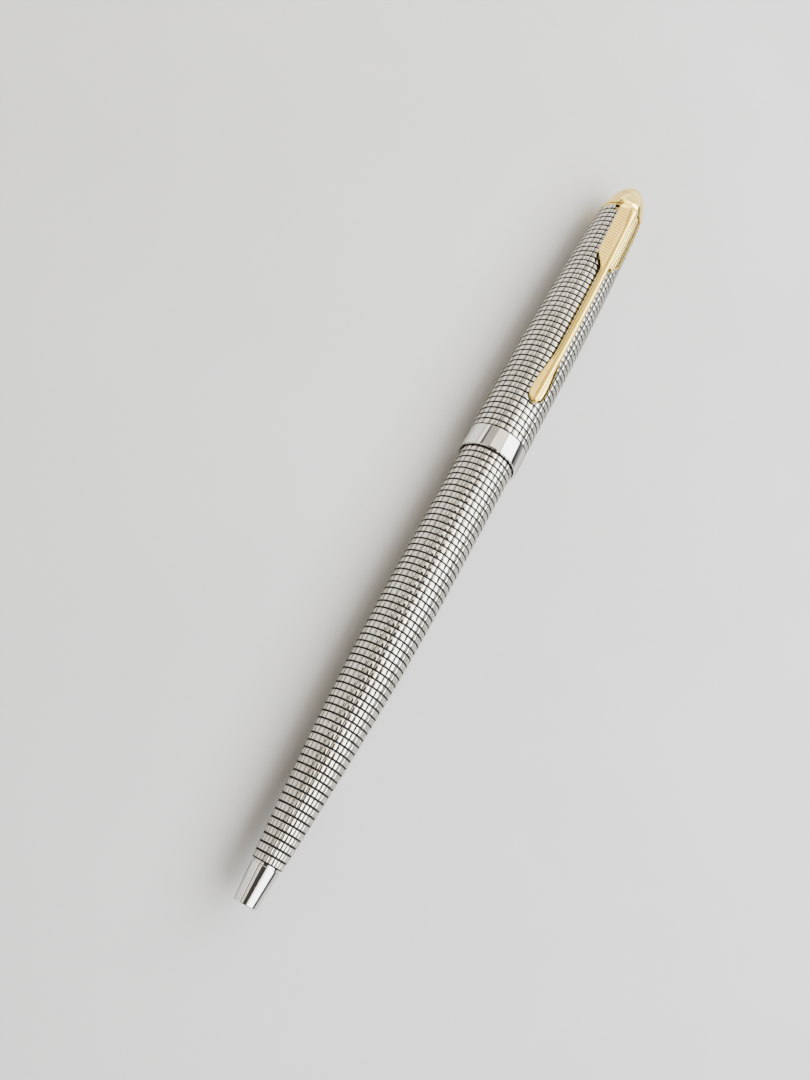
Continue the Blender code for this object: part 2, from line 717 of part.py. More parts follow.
def clip_half_width(reach):
    """Half width at a distance along the clip from its root.

    A wide plate with round corners narrows to a slim shaft, which ends in a rounded paddle.
    """
    plate, shaft, paddle = CLIP_PLATE_WIDTH / 2, CLIP_SHAFT_WIDTH / 2, CLIP_PADDLE_WIDTH / 2
    if reach < CLIP_CORNER:
        share = 1 - reach / CLIP_CORNER
        return plate - CLIP_CORNER * (1 - (1 - share * share) ** 0.5)
    if reach < CLIP_PLATE_STRAIGHT:
        return plate
    if reach < CLIP_PLATE_TAPER:
        share = (reach - CLIP_PLATE_STRAIGHT) / (CLIP_PLATE_TAPER - CLIP_PLATE_STRAIGHT)
        return plate + (shaft - plate) * smooth_step(share)
    if reach < CLIP_PADDLE_WIDEST:
        share = (reach - CLIP_PADDLE_START) / (CLIP_PADDLE_WIDEST - CLIP_PADDLE_START)
        return shaft + (paddle - shaft) * smooth_step(share)
    share = (reach - CLIP_PADDLE_WIDEST) / (CLIP_LENGTH - CLIP_PADDLE_WIDEST)
    return paddle * max(1 - share**CLIP_TIP_POWER, 0.0) ** 0.5


def clip_under_height(reach):
    """Height of the clip's middle underside over the axis: it bows off the cap and comes back to it."""
    bow = max(sin(pi * reach / CLIP_LENGTH), 0.0) ** CLIP_BOW_POWER
    return cap_radius(CLIP_ROOT - reach) + CLIP_ROOT_GAP + CLIP_STAND_OFF * bow


def ridge_half_width(reach, half):
    """Half width of the clip's ridge, which is widest at the root."""
    flare = 1 - smooth_step(reach / CLIP_RIDGE_FLARE)
    full = (CLIP_RIDGE_WIDTH + (CLIP_RIDGE_ROOT_WIDTH - CLIP_RIDGE_WIDTH) * flare) / 2
    return min(full, half * RIDGE_SHARE)


def clip_section(reach):
    """Closed outline across the clip: thin drooping wings and a rounded ridge along the middle."""
    half = max(clip_half_width(reach), CLIP_MIN_HALF_WIDTH)
    under = clip_under_height(reach)
    ridge_half = ridge_half_width(reach, half)
    ridge = CLIP_RIDGE_HEIGHT * min(half / CLIP_SLIM_HALF_WIDTH, 1.0)
    top = [
        (-half, CLIP_EDGE_THICKNESS),
        (-half * EDGE_SHARE, CLIP_EDGE_THICKNESS),
        (-ridge_half * RIDGE_FOOT, CLIP_EDGE_THICKNESS + RIDGE_FOOT_RISE),
        (-ridge_half, CLIP_EDGE_THICKNESS + ridge * RIDGE_SIDE),
        (-ridge_half * RIDGE_TOP, CLIP_EDGE_THICKNESS + ridge),
    ]
    top += [(-y, z) for y, z in reversed(top)]
    bottom = [
        (half, CLIP_EDGE_CHAMFER),
        (half * EDGE_SHARE, 0.0),
        (0.0, 0.0),
        (-half * EDGE_SHARE, 0.0),
        (-half, CLIP_EDGE_CHAMFER),
    ]
    return [(y, under + z - CLIP_DROOP * y * y) for y, z in top + bottom]


def make_clip(parent):
    """The clip's sections bridged along its length, with stations closer together at both ends."""
    bm = bmesh.new()
    rings = []
    for i in range(CLIP_STATIONS + 1):
        reach = CLIP_LENGTH * (1 - cos(pi * i / CLIP_STATIONS)) / 2
        x = CLIP_ROOT - reach - CLIP_HINGE
        rings.append([bm.verts.new((x, y, z - CLIP_HINGE_HEIGHT)) for y, z in clip_section(reach)])
    for ring, following in zip(rings, rings[1:]):
        for i in range(len(ring)):
            bm.faces.new((ring[i - 1], ring[i], following[i], following[i - 1]))
    bm.faces.new(rings[0])
    bm.faces.new(reversed(rings[-1]))
    add_piece("clip", bm, "gold", on_axis(CLIP_HINGE, CLIP_HINGE_HEIGHT), parent)


# ---------------------------------------------------------------- the pen


def main():
    for obj in list(bpy.data.objects):
        bpy.data.objects.remove(obj, do_unlink=True)

    barrel = frame_at("barrel_frame", on_axis(0.0))
    make_nose_cone(barrel)
    make_barrel_shell(barrel)
    make_barrel_liner(barrel)
    make_barrel_bush(barrel)
    make_return_spring(barrel)

    seal = frame_at("seal_frame", on_axis(BARREL_END), barrel)
    make_seal_washer(seal)

    mechanism = frame_at("mechanism_frame", on_axis(TUBE_START), seal)
    make_mechanism_tube(mechanism)
    make_cam_sleeve(mechanism)
    make_retaining_ring(mechanism)

    plunger = frame_at("plunger_frame", on_axis(ROTOR_END), mechanism)
    make_plunger(plunger)
    make_cam_rotor(frame_at("rotor_frame", on_axis(ROTOR_START), plunger))

    refill = frame_at("refill_frame", on_axis(BALL_FRONT), barrel)
    make_refill_body(refill)
    make_refill_crown(refill)
    make_point_holder(refill)
    make_ball(frame_at("ball_frame", on_axis(BALL_CENTRE), refill))

    cap = frame_at("cap_frame", on_axis(BAND_START), mechanism)
    make_cap_shell(cap)
    make_cap_band(cap)
    make_cap_liner(cap)
    make_cap_plug(cap)
    make_clip_ring(cap)
    make_finial_ring(cap)
    make_finial_dome(cap)
    make_finial_screw(cap)
    make_clip(frame_at("clip_frame", on_axis(CLIP_HINGE, CLIP_HINGE_HEIGHT), cap))


main()
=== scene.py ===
"""Looks of a slim press-cap pen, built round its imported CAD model.

Everything is in metres, in the CAD model's frame: the pen lies along X with its nose towards -X and its
clip up. Places along the pen are distances from the nose end, and turned outlines are lists of
(distance, radius, size of the corner's rounding).
"""

import json
from math import acos, asin, cos, pi, radians, sin, sqrt, tan

import bmesh
import bpy
from mathutils import Matrix, Vector


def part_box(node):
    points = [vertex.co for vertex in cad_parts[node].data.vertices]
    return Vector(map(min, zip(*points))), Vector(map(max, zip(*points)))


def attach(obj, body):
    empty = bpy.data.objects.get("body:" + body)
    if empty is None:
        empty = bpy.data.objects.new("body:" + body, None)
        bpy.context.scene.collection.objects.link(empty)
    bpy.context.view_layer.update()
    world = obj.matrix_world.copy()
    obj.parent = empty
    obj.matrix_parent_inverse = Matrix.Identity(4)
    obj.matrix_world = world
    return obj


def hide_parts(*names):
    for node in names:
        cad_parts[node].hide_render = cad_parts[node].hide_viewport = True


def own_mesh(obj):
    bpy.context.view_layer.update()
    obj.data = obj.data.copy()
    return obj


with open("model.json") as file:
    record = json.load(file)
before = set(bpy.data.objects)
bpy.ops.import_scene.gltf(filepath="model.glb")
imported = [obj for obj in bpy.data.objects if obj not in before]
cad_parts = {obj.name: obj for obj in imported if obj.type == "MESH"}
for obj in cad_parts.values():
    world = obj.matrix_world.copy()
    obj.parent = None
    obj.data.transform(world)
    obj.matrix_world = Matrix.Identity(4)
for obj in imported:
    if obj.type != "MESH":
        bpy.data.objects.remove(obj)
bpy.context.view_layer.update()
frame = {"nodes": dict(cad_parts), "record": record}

MM = 0.001
NOSE_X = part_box("nose_cone")[0].x
AXIS_Z = (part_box("cap_band")[0].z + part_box("cap_band")[1].z) / 2


def place_of(x):
    """Distance from the nose end of a place along X."""
    return x - NOSE_X


def ends(node):
    """Distances from the nose end of a CAD node's two ends."""
    low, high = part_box(node)
    return place_of(low.x), place_of(high.x)


def outer_radius(node):
    """Largest radius of a turned CAD node."""
    low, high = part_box(node)
    return (high.y - low.y) / 2


# ---------------------------------------------------------------- sizes

# Grid
ROW = 1.085 * MM
COLUMNS = 24
COLUMN_ANGLE = 2 * pi / COLUMNS
GROOVE_DEPTH = 0.10 * MM
RING_GROOVE = 0.275 * MM        # width of the grooves round the pen
LONG_GROOVE = 0.140             # of a column's width
GROOVE_PROFILE = ((0.0, 1.0), (0.50, 1.0), (0.88, 0.30), (1.30, 0.03))  # shares of its half width and depth
CELL_CROWN = 0.016 * MM
FINE_SIDES = 160                # of the turned pieces that show

# Nose cone
NOSE_LENGTH = 5.15 * MM
NOSE_TIP_RADIUS = 1.62 * MM
NOSE_TOP_RADIUS = 2.03 * MM
TIP_BORE = 1.28 * MM
TIP_BORE_END = 2.8 * MM
SPIGOT_RADIUS = 1.86 * MM
SPIGOT_BORE = 1.62 * MM
SPIGOT_BORE_START = 3.6 * MM

# Writing point
SOCKET_GAP = 0.03 * MM
SOCKET_STEPS = 5
LIP_RADIUS = 0.44 * MM
TIP_RADIUS = 0.62 * MM
TIP_LENGTH = 0.9 * MM
POINT_RADIUS = 1.15 * MM
POINT_CONE_LENGTH = 3.4 * MM
INK_CHANNEL = 0.16 * MM
BALL_STEPS = 24

# Return spring
SPRING_RADIUS = 1.87 * MM
SPRING_WIRE = 0.15 * MM
SPRING_TURNS = 11
SPRING_STEPS = 30               # to a turn
WIRE_SIDES = 12

# Barrel
BARREL_START, BARREL_END = ends("barrel_shell")
BARREL_ROWS = 61
BARREL_START_RADIUS = 2.24 * MM
BARREL_FLARE_END = 50.5 * MM
BARREL_FLARE_RADIUS = 4.30 * MM
BARREL_FLARE_POWER = 1.8
BARREL_END_RADIUS = 4.38 * MM
BARREL_WALL = 0.42 * MM
NOSE_THREAD_RADIUS = 1.91 * MM
NOSE_THREAD_ROOM = 0.2 * MM     # between the spigot's end and the wider bore
PLAIN_CHAMFER = 0.08 * MM
PLAIN_DROP = 0.01 * MM          # the plain end is this much slimmer than the cells
START_DROP = 0.02 * MM
BARREL_END_CHAMFER = 0.12 * MM

# Cap
BAND_START, BAND_END = ends("cap_band")
BAND_RADIUS = 4.90 * MM
BAND_BORE = 4.50 * MM
BAND_LIP_LENGTH = 1.55 * MM
BAND_FIT = 0.05 * MM
CAP_START = BAND_END + 0.10 * MM
CAP_END = ends("cap_shell")[1]
CAP_ROWS = 46
CAP_RADIUS = 4.86 * MM
CAP_STRAIGHT_END = 92.5 * MM
CAP_END_RADIUS = 3.90 * MM
CAP_TAPER_POWER = 1.6
CAP_WALL = 0.38 * MM
REBATE_START = ends("cap_shell")[0]
REBATE_RADIUS = 4.70 * MM

# Finial
FINIAL_START, FINIAL_SPLIT = ends("finial_ring")
PEN_LENGTH = ends("finial_dome")[1]
FINIAL_RADIUS = 3.82 * MM
FINIAL_FLAT_RADIUS = 1.80 * MM
FINIAL_POWER = 1.5
FINIAL_ROUNDNESS = 0.8
FINIAL_BORE = 1.95 * MM
FINIAL_SEAM = 0.10 * MM
FINIAL_TOP_DROP = 0.01 * MM     # keeps the flat just inside the CAD node's end
SCREW_BORE = 1.25 * MM
SCREW_BORE_DEPTH = 1.15 * MM    # from the flat to the bore's blind end
COLLAR_BORE = 2.0 * MM

# Clip
CLIP_TIP, CLIP_ROOT = ends("clip")
CLIP_LENGTH = CLIP_ROOT - CLIP_TIP
CLIP_PLATE_WIDTH = 4.9 * MM
CLIP_SHAFT_WIDTH = 1.50 * MM
CLIP_PADDLE_WIDTH = 2.90 * MM
CLIP_CORNER = 0.9 * MM
CLIP_PLATE_STRAIGHT = 11.6 * MM
CLIP_PLATE_TAPER = 15.9 * MM
CLIP_PADDLE_START = 33.0 * MM
CLIP_PADDLE_WIDEST = 41.5 * MM
CLIP_EDGE_THICKNESS = 0.32 * MM
CLIP_RIM_THICKNESS = 0.20 * MM
CLIP_RIDGE_WIDTH = 0.86 * MM
CLIP_RIDGE_ROOT_WIDTH = 1.52 * MM
CLIP_RIDGE_FLARE = 6.0 * MM
CLIP_RIDGE_HEIGHT = 0.48 * MM
CLIP_ROOT_GAP = 0.12 * MM
CLIP_STAND_OFF = 0.60 * MM      # how far it bows away from the cap
CLIP_DROOP = 0.105 / MM         # how fast its sides fall with the square of their distance from its middle
CLIP_ROOT_ROUNDING = 1.3 * MM
CLIP_TIP_ROUNDING = 1.2 * MM
CLIP_BOW_POWER = 0.7
CLIP_TIP_POWER = 2.2
CLIP_MIN_HALF_WIDTH = 0.06 * MM
CLIP_SLIM_HALF_WIDTH = 0.5 * MM  # the ridge gets lower where the clip is slimmer than this
CLIP_NOTCH_WIDTH = 5.7 * MM
CLIP_NOTCH_LENGTH = 1.4 * MM
RIDGE_SHARE = 0.60              # of the clip's half width, at most
RIDGE_ROOT_SHARE = 0.25         # of its height, at the very root
RIDGE_FOOT = 1.22               # where its foot is, as a share of its half width
RIDGE_SIDE_POWER = 0.9          # how its section differs from an ellipse
RIDGE_TOP_POWER = 0.62
RIDGE_STEPS = 8
WING_DROP = 0.004 * MM          # from the ridge's foot to the wing
WING_STEPS = 8
RIM_SHARE = 0.3                 # the most of the half width that the round edge takes
RIM_STEPS = 8
UNDERSIDE_SHARES = (1.0, 0.66, 0.33)
TAB_HALF_WIDTH = 1.5 * MM
TAB_LENGTH = 1.0 * MM
TAB_END = 0.08 * MM             # from the clip's root
TAB_CHAMFER = 0.06 * MM
TAB_GAP = 0.05 * MM             # between the tab and the washer's rim
TAB_STEPS = 12

# Reeds, which cross the wings of the clip's plate
REED_PITCH = 0.60 * MM
REED_DEPTH = 0.055 * MM
REED_START = 1.0 * MM
REED_END = 15.0 * MM
REED_START_FADE = 0.5 * MM
REED_END_FADE = 1.0 * MM
REED_FOOT_FADE = 0.12           # of the wing's width
REED_RIM_FADE = 0.10
REED_ROOM = 0.3 * MM            # the narrowest wing that has them
REED_ROOM_FADE = 0.6 * MM
STATIONS_PER_REED = 7

# Room
FLOOR_RADIUS = 0.55
FLOOR_SIDES = 96
TENT_RADIUS = 0.35              # from the pen's axis to the soft boxes
PANEL_PLACE = 0.85              # along X
PANEL_WIDTH = 0.80
PANEL_HEIGHT = 0.50
WORLD_FADE = (-0.02, 0.38, 0.66, 0.09)  # sines of two elevations, and the radiance at each
CAMERA_AIM = Vector((-12.84, 5.35, 4.9)) * MM
CAMERA_DISTANCE = 135.3 * MM
CAMERA_HEADING = -39.985        # degrees, as are the next two
CAMERA_DOWN = 62.174
CAMERA_ROLL = -72.950
CAMERA_LENS = 30.983            # focal length in mm


def smooth_step(t):
    """0 to 1 with flat ends."""
    t = min(max(t, 0.0), 1.0)
    return t * t * (3 - 2 * t)


def spread(start, end, steps):
    """Evenly spaced values, both ends included."""
    return [start + (end - start) * i / steps for i in range(steps + 1)]


def barrel_radius(distance):
    """Outside of the barrel: a long flare from the nose, then an almost straight tube."""
    if distance >= BARREL_FLARE_END:
        share = (distance - BARREL_FLARE_END) / (BARREL_END - BARREL_FLARE_END)
        return BARREL_FLARE_RADIUS + (BARREL_END_RADIUS - BARREL_FLARE_RADIUS) * share
    share = (BARREL_FLARE_END - distance) / (BARREL_FLARE_END - BARREL_START)
    return BARREL_FLARE_RADIUS - (BARREL_FLARE_RADIUS - BARREL_START_RADIUS) * share**BARREL_FLARE_POWER


def cap_radius(distance):
    """Outside of the cap: straight above the band, then tapering towards the finial."""
    share = max(0.0, (distance - CAP_STRAIGHT_END) / (CAP_END - CAP_STRAIGHT_END))
    return CAP_RADIUS - (CAP_RADIUS - CAP_END_RADIUS) * share**CAP_TAPER_POWER


# ---------------------------------------------------------------- materials

SILVER_EDGE = 0.55
GOLD_BRIGHT, GOLD_DULL = (1.0, 0.78, 0.28), (0.95, 0.69, 0.21)


class Nodes:
    """A new procedural material, and short ways to add nodes to it."""

    def __init__(self, name):
        self.material = bpy.data.materials.new(name)
        self.material.use_nodes = True
        self.tree = self.material.node_tree
        self.shader = self.tree.nodes["Principled BSDF"]
        self.place = self.add("TexCoord").outputs["Object"]

    def add(self, kind, inputs=None, **settings):
        made = self.tree.nodes.new("ShaderNode" + kind)
        for key, value in settings.items():
            setattr(made, key, value)
        for key, value in (inputs or {}).items():
            self.fill(made.inputs[key], value)
        return made

    def fill(self, socket, value):
        """Links a socket to a node's output, or sets its value."""
        if isinstance(value, bpy.types.NodeSocket):
            self.tree.links.new(value, socket)
        else:
            socket.default_value = value

    def maths(self, operation, first, second=0.0, third=0.0):
        made = self.add("Math", {0: first, 1: second, 2: third}, operation=operation)
        return made.outputs[0]

    def ramp(self, value, low, high, at_low=0.0, at_high=1.0):
        """A smooth change from at_low to at_high as value goes from low to high."""
        made = self.add(
            "MapRange",
            {"Value": value, "From Min": low, "From Max": high, "To Min": at_low, "To Max": at_high},
            interpolation_type="SMOOTHSTEP",
        )
        return made.outputs["Result"]

    def noise(self, per_mm, detail=3.0, stretch=(1.0, 1.0, 1.0), roughness=0.55):
        """Noise with so many lumps to the millimetre, drawn out along axes where stretch is small."""
        scaled = self.add("Mapping", {"Vector": self.place, "Scale": stretch}).outputs[0]
        made = self.add(
            "TexNoise",
            {"Vector": scaled, "Scale": per_mm / MM, "Detail": detail, "Roughness": roughness},
        )
        return made.outputs["Fac"]

    def mix(self, factor, first, second):
        """Blends two colours."""
        made = self.add("Mix", data_type="RGBA")
        self.fill(made.inputs[0], factor)
        self.fill(made.inputs[6], colour(first))
        self.fill(made.inputs[7], colour(second))
        return made.outputs[2]

    def around(self):
        """(turn about the pen's axis from straight up, distance from that axis)."""
        split = self.add("SeparateXYZ", {0: self.place})
        height = self.maths("SUBTRACT", split.outputs[2], AXIS_Z)
        turn = self.maths("ARCTAN2", split.outputs[1], height)
        squares = self.maths("MULTIPLY_ADD", height, height, self.maths("POWER", split.outputs[1], 2.0))
        return turn, self.maths("SQRT", squares)

    def along(self):
        return self.add("SeparateXYZ", {0: self.place}).outputs[0]

    def bump(self, height, depth_mm, normal=None):
        """Adds relief of a real depth, over earlier relief if there is any."""
        made = self.add("Bump", {"Strength": 1.0, "Distance": depth_mm * MM, "Height": height})
        if normal:
            self.fill(made.inputs["Normal"], normal)
        return made.outputs["Normal"]

    def edge(self, tint):
        """Tint of a metal where it is seen almost edge on."""
        self.shader.inputs["Specular Tint"].default_value = (tint, tint, tint, 1.0)

    def finish(self, **inputs):
        for key, value in inputs.items():
            self.fill(self.shader.inputs[key.replace("_", " ").title()], value)
        return self.material


def colour(value):
    """RGB as RGBA, and a socket as it is."""
    return value if isinstance(value, bpy.types.NodeSocket) else (*value, 1.0)


def line_distance(nodes, value, pitch, offset):
    """(distance from the nearest of evenly spaced lines, distance from the first one), in pitches."""
    cells = nodes.maths("DIVIDE", nodes.maths("SUBTRACT", value, offset), pitch)
    return nodes.maths("ABSOLUTE", nodes.maths("SUBTRACT", cells, nodes.maths("ROUND", cells))), cells


def engraved_silver(name, first_line):
    """Bright silver cells between oxidised grooves, which lie where the mesh has them, with painted shade
    darkening the cells along the groove edges.
    """
    n = Nodes(name)
    turn, radius = n.around()
    ring_share, ring_cells = line_distance(n, n.along(), ROW, first_line)
    long_share, long_cells = line_distance(n, turn, COLUMN_ANGLE, COLUMN_ANGLE / 2)
    from_ring = n.maths("MULTIPLY", ring_share, ROW / MM)
    pitch_here = n.maths("MULTIPLY", radius, COLUMN_ANGLE / MM)
    from_long = n.maths("MULTIPLY", long_share, pitch_here)
    ragged = n.ramp(n.noise(9.0), 0.3, 0.7, -0.018, 0.018)
    ring_edge = n.maths("ADD", n.maths("SUBTRACT", from_ring, RING_GROOVE / MM / 2), ragged)
    half_long = n.maths("MULTIPLY", pitch_here, LONG_GROOVE / 2)
    long_edge = n.maths("ADD", n.maths("SUBTRACT", from_long, half_long), ragged)
    edge = n.maths("MINIMUM", ring_edge, long_edge)
    groove = n.ramp(edge, -0.035, 0.012, 1.0, 0.0)
    # painted shade: a mask that fades from the groove's edge over 0.16 mm into the cell
    groove_edge_shade = n.ramp(edge, 0.0, 0.16, 1.0, 0.0)

    cell = n.add("CombineXYZ", {0: n.maths("FLOOR", ring_cells), 1: n.maths("FLOOR", long_cells)})
    each = n.add("TexWhiteNoise", {"Vector": cell.outputs[0]}, noise_dimensions="3D").outputs["Value"]
    cloud = n.noise(0.16, 4.0)
    brushed = n.noise(3.2, 2.0, (0.12, 1.0, 1.0))

    clean = n.mix(each, (0.91, 0.88, 0.81), (0.77, 0.735, 0.66))
    worn = n.mix(n.ramp(cloud, 0.50, 0.78, 0.0, 0.40), clean, (0.66, 0.60, 0.49))
    # painted shade along the groove edges, mixed into the cells' colour
    shaded = n.mix(n.maths("MULTIPLY", groove_edge_shade, 0.45), worn, (0.30, 0.28, 0.25))
    base = n.mix(groove, shaded, (0.016, 0.015, 0.014))
    rough = n.ramp(brushed, 0.25, 0.75, 0.11, 0.19)
    rough = n.maths("ADD", rough, n.maths("MULTIPLY", each, 0.05))
    rough = n.maths("MULTIPLY_ADD", groove, 0.45, rough)
    relief = n.bump(brushed, 0.004)
    relief = n.bump(n.noise(1.1, 3.0), 0.010, relief)
    metal = n.maths("SUBTRACT", 1.0, n.maths("MULTIPLY", groove, 0.6))
    n.edge(SILVER_EDGE)
    return n.finish(base_color=base, roughness=rough, metallic=metal, normal=relief)


def polished(name, bright, dull, roughness, scratches=0.003, edge=1.0):
    """Polished metal with hairline scratches, faint smears and a slightly uneven tone."""
    n = Nodes(name)
    tone = n.ramp(n.noise(0.22, 4.0), 0.35, 0.75, 0.0, 1.0)
    hairs = n.noise(2.6, 3.0, (0.06, 1.0, 1.0))
    cross = n.noise(3.4, 2.0, (1.0, 0.08, 0.25))
    fine = n.maths("MAXIMUM", n.ramp(hairs, 0.62, 0.72), n.ramp(cross, 0.66, 0.76))
    rough = n.maths("MULTIPLY_ADD", tone, 0.05, roughness)
    rough = n.maths("MULTIPLY_ADD", fine, 0.08, rough)
    relief = n.bump(n.maths("MAXIMUM", hairs, cross), scratches)
    n.edge(edge)
    return n.finish(base_color=n.mix(tone, bright, dull), roughness=rough, metallic=1.0, normal=relief)


def reeded_gold(name):
    """Gold plate with painted shade that darkens it in the valleys of the clip's reeds, where it is also
    rougher.
    """
    n = Nodes(name)
    split = n.add("SeparateXYZ", {0: n.place})
    reach = n.maths("SUBTRACT", NOSE_X + CLIP_ROOT, split.outputs[0])
    wave = n.maths("COSINE", n.maths("MULTIPLY", reach, 2 * pi / REED_PITCH))
    # painted shade: a mask that is strongest in the reeds' valleys on the wings
    reed_valley_shade = n.ramp(wave, -0.1, -1.0)
    side = n.maths("ABSOLUTE", split.outputs[1])
    on_wing = n.ramp(side, 0.55 * MM, 0.85 * MM)
    in_zone = n.maths(
        "MULTIPLY",
        n.ramp(reach, REED_START, REED_START + REED_START_FADE),
        n.ramp(reach, REED_END, REED_END - REED_END_FADE),
    )
    reed_valley_shade = n.maths("MULTIPLY", n.maths("MULTIPLY", reed_valley_shade, on_wing), in_zone)
    tone = n.ramp(n.noise(0.22, 4.0), 0.35, 0.75)
    hairs = n.noise(2.6, 3.0, (0.06, 1.0, 1.0))
    plate = n.mix(tone, GOLD_BRIGHT, GOLD_DULL)
    # painted shade in the reed valleys pulls the plate towards a dark brown
    base = n.mix(n.maths("MULTIPLY", reed_valley_shade, 0.75), plate, (0.42, 0.27, 0.09))
    rough = n.maths("MULTIPLY_ADD", tone, 0.05, n.ramp(hairs, 0.60, 0.74, 0.06, 0.12))
    rough = n.maths("MULTIPLY_ADD", reed_valley_shade, 0.18, rough)
    return n.finish(base_color=base, roughness=rough, metallic=1.0, normal=n.bump(hairs, 0.003))


def turned_metal(name, bright, dull, roughness):
    """Metal with the fine rings that a lathe leaves."""
    n = Nodes(name)
    rings = n.noise(14.0, 2.0, (1.0, 0.01, 0.01))
    tone = n.noise(0.5, 3.0)
    rough = n.ramp(rings, 0.3, 0.7, roughness - 0.05, roughness + 0.08)
    base = n.mix(n.ramp(tone, 0.3, 0.75), bright, dull)
    return n.finish(base_color=base, roughness=rough, metallic=1.0, normal=n.bump(rings, 0.006))


def moulded(name, light, dark, roughness, grain=0.004, specular=0.5):
    """Moulded plastic or rubber with a fine matt grain."""
    n = Nodes(name)
    base = n.mix(n.ramp(n.noise(0.6, 3.0), 0.35, 0.7), light, dark)
    rough = n.ramp(n.noise(2.0, 3.0), 0.3, 0.7, roughness - 0.06, roughness + 0.08)
    n.shader.inputs["Specular IOR Level"].default_value = specular
    return n.finish(base_color=base, roughness=rough, normal=n.bump(n.noise(12.0, 2.0), grain))


SILVER = polished("polished_silver", (0.84, 0.825, 0.79), (0.76, 0.745, 0.71), 0.06, edge=SILVER_EDGE)
GOLD = polished("gold_plate", GOLD_BRIGHT, GOLD_DULL, 0.07, 0.002)
CLIP_GOLD = reeded_gold("clip_gold")
BARREL_SILVER = engraved_silver("engraved_barrel", NOSE_X + BARREL_START)
CAP_SILVER = engraved_silver("engraved_cap", NOSE_X + CAP_START)
BRASS = turned_metal("turned_brass", (0.88, 0.70, 0.36), (0.74, 0.55, 0.25), 0.26)
STEEL = turned_metal("drawn_steel", (0.70, 0.70, 0.71), (0.58, 0.58, 0.60), 0.22)
SPRING = turned_metal("spring_wire", (0.62, 0.62, 0.64), (0.48, 0.48, 0.50), 0.28)
CARBIDE = polished("carbide", (0.55, 0.55, 0.57), (0.46, 0.46, 0.48), 0.08)
BLACK = moulded("black_acetal", (0.045, 0.045, 0.048), (0.028, 0.028, 0.030), 0.38)
WHITE = moulded("white_acetal", (0.84, 0.83, 0.80), (0.76, 0.75, 0.71), 0.36)
RUBBER = moulded("black_rubber", (0.035, 0.034, 0.033), (0.020, 0.020, 0.020), 0.72, 0.008, 0.3)


# ---------------------------------------------------------------- meshes


def mesh_piece(name, points, faces, material, body, slot, *nodes):
    """A smooth mesh object that rides on a body and stands for CAD nodes."""
    mesh = bpy.data.meshes.new(name)
    mesh.from_pydata([tuple(p) for p in points], [], faces)
    mesh.materials.append(material)
    piece = bpy.data.objects.new(name, mesh)
    bpy.context.collection.objects.link(piece)
    tidy = bmesh.new()
    tidy.from_mesh(mesh)
    bmesh.ops.remove_doubles(tidy, verts=tidy.verts, dist=1e-8)
    bmesh.ops.recalc_face_normals(tidy, faces=tidy.faces)
    tidy.to_mesh(mesh)
    tidy.free()
    mesh.shade_smooth()
    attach(piece, body)
    if nodes:
        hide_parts(*nodes)
    return piece


def rounded(outline, closed=True):
    """An outline's points with its corners rounded by small arcs."""
    points = []
    count = len(outline)
    for i, (distance, radius, corner) in enumerate(outline):
        here = Vector((distance, radius))
        is_end = not closed and i in (0, count - 1)
        if corner <= 0 or is_end:
            points.append((distance, radius))
            continue
        back = Vector(outline[i - 1][:2]) - here
        ahead = Vector(outline[(i + 1) % count][:2]) - here
        size = min(corner, back.length * 0.49, ahead.length * 0.49)
        first, last = here + back.normalized() * size, here + ahead.normalized() * size
        for step in range(5):
            t = step / 4
            curve = first * (1 - t) ** 2 + here * 2 * t * (1 - t) + last * t**2
            points.append((curve.x, curve.y))
    return points


def revolve(name, outline, material, body, slot, *nodes, sides=FINE_SIDES, closed=True):
    """A turned piece. An open outline begins and ends on the axis."""
    section = rounded(outline, closed)
    points, rings = [], []
    for distance, radius in section:
        if radius <= 0:
            rings.append([len(points)] * sides)
            points.append((NOSE_X + distance, 0.0, AXIS_Z))
            continue
        rings.append(list(range(len(points), len(points) + sides)))
        for i in range(sides):
            turn = 2 * pi * i / sides
            points.append((NOSE_X + distance, radius * sin(turn), AXIS_Z + radius * cos(turn)))
    faces = []
    pairs = list(zip(rings, rings[1:]))
    if closed:
        pairs.append((rings[-1], rings[0]))
    for one, other in pairs:
        for i in range(sides):
            corners = [one[i - 1], one[i], other[i], other[i - 1]]
            unique = list(dict.fromkeys(corners))
            if len(unique) > 2:
                faces.append(unique)
    return mesh_piece(name, points, faces, material, body, slot, *nodes)


def sharpen(piece, angle=32):
    """Keeps edges sharper than an angle crisp."""
    piece.data.set_sharp_from_angle(angle=radians(angle))


def bridged(rows, count, loop=False):
    """Faces between rows of points, where each row is a closed ring of so many points."""
    faces = []
    for row in range(rows if loop else rows - 1):
        here, following = row * count, (row + 1) % rows * count
        for i in range(count):
            before = (i - 1) % count
            faces.append((here + before, here + i, following + i, following + before))
    return faces


def capped(rows, count):
    """The same, with a face over each end."""
    last = (rows - 1) * count
    return [*bridged(rows, count), tuple(range(count)), tuple(reversed(range(last, last + count)))]


# ---------------------------------------------------------------- engraved shells


def cell_samples(groove_share):
    """(place in a cell, depth) pairs from one groove's middle to just short of the next."""
    side = [(place * groove_share / 2, depth) for place, depth in GROOVE_PROFILE]
    return side + [(0.5, 0.0)] + [(1 - place, depth) for place, depth in reversed(side[1:])]


